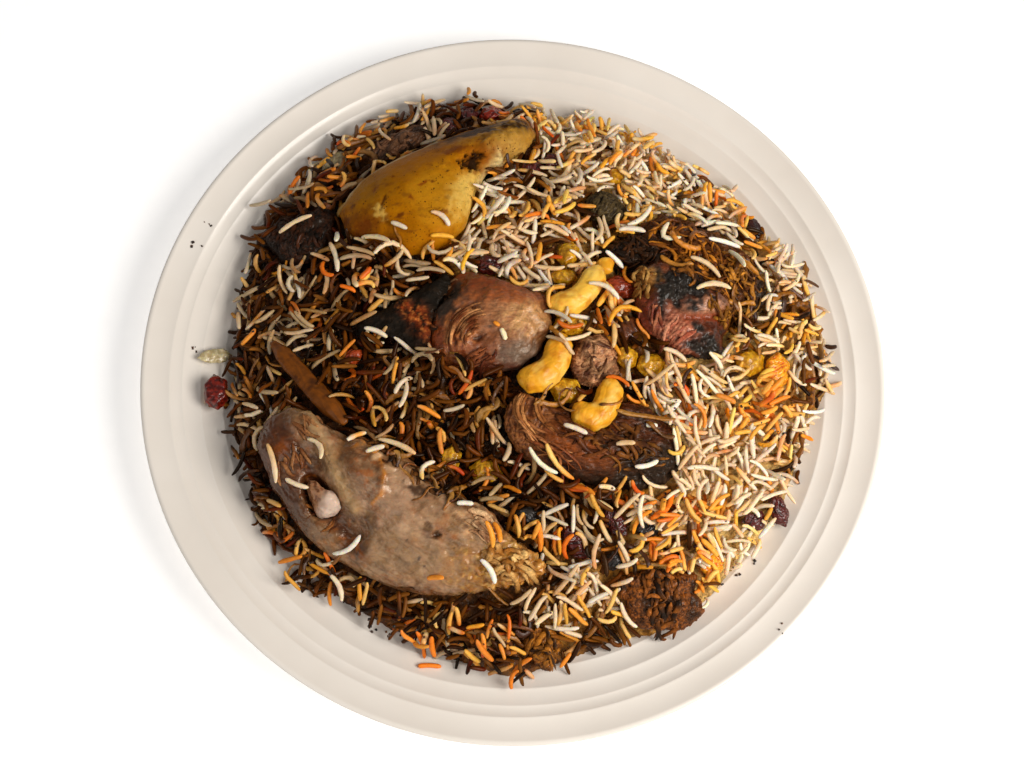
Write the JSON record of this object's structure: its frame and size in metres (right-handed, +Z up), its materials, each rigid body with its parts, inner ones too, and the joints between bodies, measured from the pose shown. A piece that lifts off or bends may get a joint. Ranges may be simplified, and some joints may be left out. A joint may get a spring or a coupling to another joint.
{
  "type": "plate of lamb zurbian",
  "caption": "Round fluted white plate heaped with spiced saffron rice, roasted lamb, potato, cashews and raisins.",
  "frame": {"origin": "centre of the plate's foot ring, on the table", "axes": "+Z up; seen from above with +Y away from the viewer, the potato lies at the back left and the big lamb joint at the front left"},
  "size_m": [0.32, 0.32, 0.0636],
  "materials": {
    "white_glaze": "gloss",
    "spiced_rice": "satin",
    "potato": "satin",
    "lamb_skin": "gloss",
    "lamb_meat": "gloss",
    "lamb_brown": "satin",
    "lamb_pale": "gloss",
    "knuckle": "gloss",
    "bone": "satin",
    "dried_lime": "matte",
    "cashew": "satin",
    "golden_raisin": "gloss",
    "red_raisin": "gloss",
    "dark_raisin": "gloss",
    "burnt": "matte",
    "tomato": "gloss",
    "glazed_onion": "gloss",
    "pale_onion": "gloss",
    "fried_onion": "satin"
  },
  "bodies": {
    "root": {"plate": "white_glaze", "cashew_top": "cashew", "cashew_middle": "cashew", "cashew_lower": "cashew", "cashew_half": "cashew", "golden_raisin_1": "golden_raisin", "golden_raisin_2": "golden_raisin", "golden_raisin_3": "golden_raisin", "golden_raisin_4": "golden_raisin", "golden_raisin_5": "golden_raisin", "golden_raisin_6": "golden_raisin", "golden_raisin_7": "golden_raisin", "golden_raisin_8": "golden_raisin", "golden_raisin_9": "golden_raisin", "golden_raisin_10": "golden_raisin", "golden_raisin_11": "golden_raisin", "golden_raisin_12": "golden_raisin", "red_raisin_left": "red_raisin", "red_raisin_far": "red_raisin", "dark_raisin_1": "dark_raisin", "dark_raisin_2": "dark_raisin", "dark_raisin_3": "dark_raisin", "dark_raisin_4": "dark_raisin", "dark_raisin_5": "dark_raisin", "dark_raisin_6": "dark_raisin", "dark_raisin_7": "dark_raisin", "dark_raisin_8": "dark_raisin", "dark_raisin_9": "dark_raisin", "dark_raisin_10": "dark_raisin", "black_spice_1": "burnt", "black_spice_2": "burnt", "black_spice_3": "burnt", "burnt_scrap_far": "burnt", "burnt_scrap_right": "burnt", "tomato_piece_1": "tomato", "tomato_piece_2": "tomato", "tomato_piece_3": "tomato", "glazed_onion": "glazed_onion", "potato_wedge": "potato", "lamb_skin_flap": "lamb_skin", "lamb_middle": "lamb_meat", "lamb_charred": "lamb_meat", "lamb_shredded": "lamb_brown", "lamb_lower": "lamb_brown", "joint_knuckle": "knuckle", "lamb_joint": "lamb_pale", "rib_bone": "bone", "lamb_chunk": "lamb_meat", "dried_lime": "dried_lime", "lamb_front_right": "lamb_brown", "lamb_shred_front": "lamb_brown", "lamb_behind_potato": "lamb_meat", "lamb_dark_left": "lamb_skin", "onion_petal_left": "pale_onion", "onion_petal_far": "pale_onion", "onion_petal_behind": "pale_onion", "fried_onion_1": "fried_onion", "fried_onion_2": "fried_onion", "rice_heap": "spiced_rice"}
  },
  "joints": []
}
